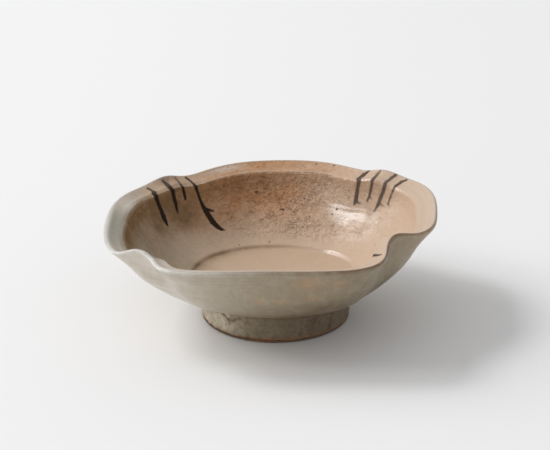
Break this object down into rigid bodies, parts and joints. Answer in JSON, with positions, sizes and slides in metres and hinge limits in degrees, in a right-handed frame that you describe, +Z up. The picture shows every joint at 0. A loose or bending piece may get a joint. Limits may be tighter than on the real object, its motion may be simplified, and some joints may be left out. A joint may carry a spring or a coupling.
{
  "type": "square shallow bowl",
  "caption": "Shallow square stoneware bowl with a turned-out rim, pinched corners, a sunken round floor and a foot ring, glazed inside and out.",
  "frame": {"origin": "on the table, under the middle of the bowl's overall width and depth", "axes": "+Z up through the open bowl, -Y towards the front side, +X towards the right side"},
  "size_m": [0.1502, 0.142, 0.0532],
  "materials": {
    "clay": "fired iron-bearing stoneware, bare only as a thin line along the lip",
    "foot_clay": "bare fired stoneware, rough",
    "inner_glaze": "satin gloss, warm buff with fine dark specks and pits",
    "outer_glaze": "satin gloss, grey-green taupe with pale orange flashes"
  },
  "bodies": {
    "root": {"clay_body": "clay", "foot_ring": "foot_clay", "inner_glaze": "inner_glaze", "outer_glaze": "outer_glaze"}
  },
  "joints": []
}
